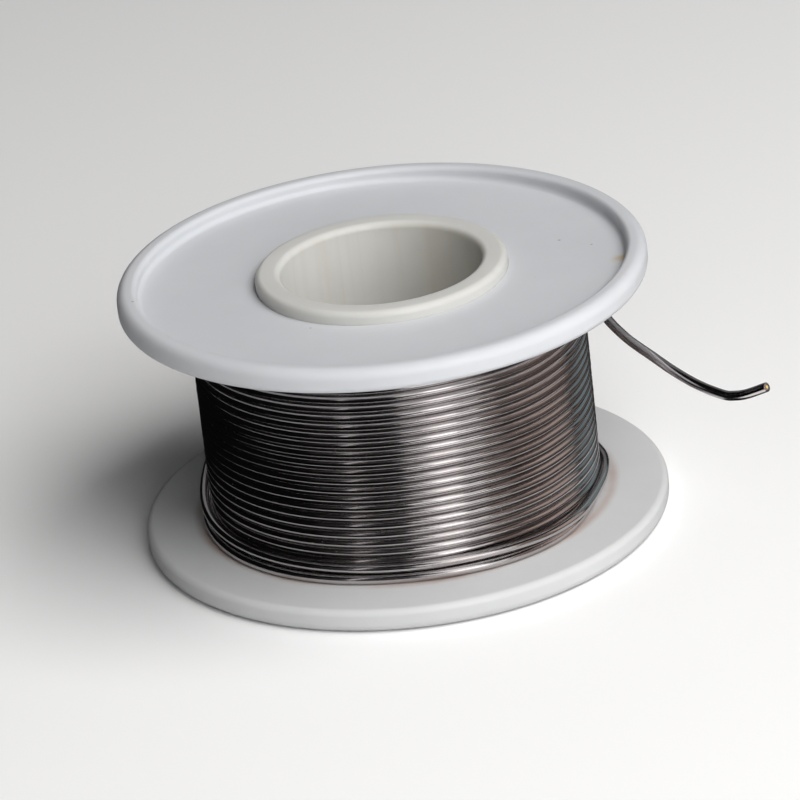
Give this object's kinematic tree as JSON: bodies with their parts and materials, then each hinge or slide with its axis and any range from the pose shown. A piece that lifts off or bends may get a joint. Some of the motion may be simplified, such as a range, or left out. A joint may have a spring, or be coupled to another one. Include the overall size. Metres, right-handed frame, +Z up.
{
  "type": "solder wire spool",
  "caption": "Small white plastic spool with rimmed flanges and an open hub, wound with nested layers of bright solder wire whose free end stands out to one side.",
  "frame": {"origin": "centre of the lower flange's rim face, on the surface that the spool stands on", "axes": "+Z up along the spool's axis, -Y towards the viewer, +X towards the side where the free end of the wire leaves"},
  "size_m": [0.0645, 0.055, 0.0291],
  "materials": {
    "flange_plastic": "satin moulded polystyrene, cool white, slightly scuffed",
    "hub_plastic": "satin moulded plastic, warm white",
    "solder": "drawn tin-lead solder wire, semi-bright, slightly tarnished",
    "rosin": "amber rosin flux"
  },
  "bodies": {
    "spool": {"hub_tube": "hub_plastic", "upper_flange": "flange_plastic", "lower_flange": "flange_plastic", "winding_layer_1": "solder", "winding_layer_2": "solder", "winding_layer_3": "solder", "winding_layer_4": "solder", "winding_layer_5": "solder", "winding_layer_6": "solder", "winding_layer_7": "solder"},
    "loose_turn": {"last_turn": "solder"},
    "free_end": {"wire_tail": "solder", "flux_core": "rosin"}
  },
  "joints": [
    {"name": "wire_payout", "type": "hinge", "parent": "spool", "child": "loose_turn", "pos_m": [0, 0, 0.01455], "axis": [0, 0, 1], "continuous": true},
    {"name": "free_end_bend", "type": "hinge", "parent": "loose_turn", "child": "free_end", "pos_m": [0.02063, 0.00439, 0.0221], "axis": [0, 0, 1], "range_deg": [0, 40]}
  ]
}
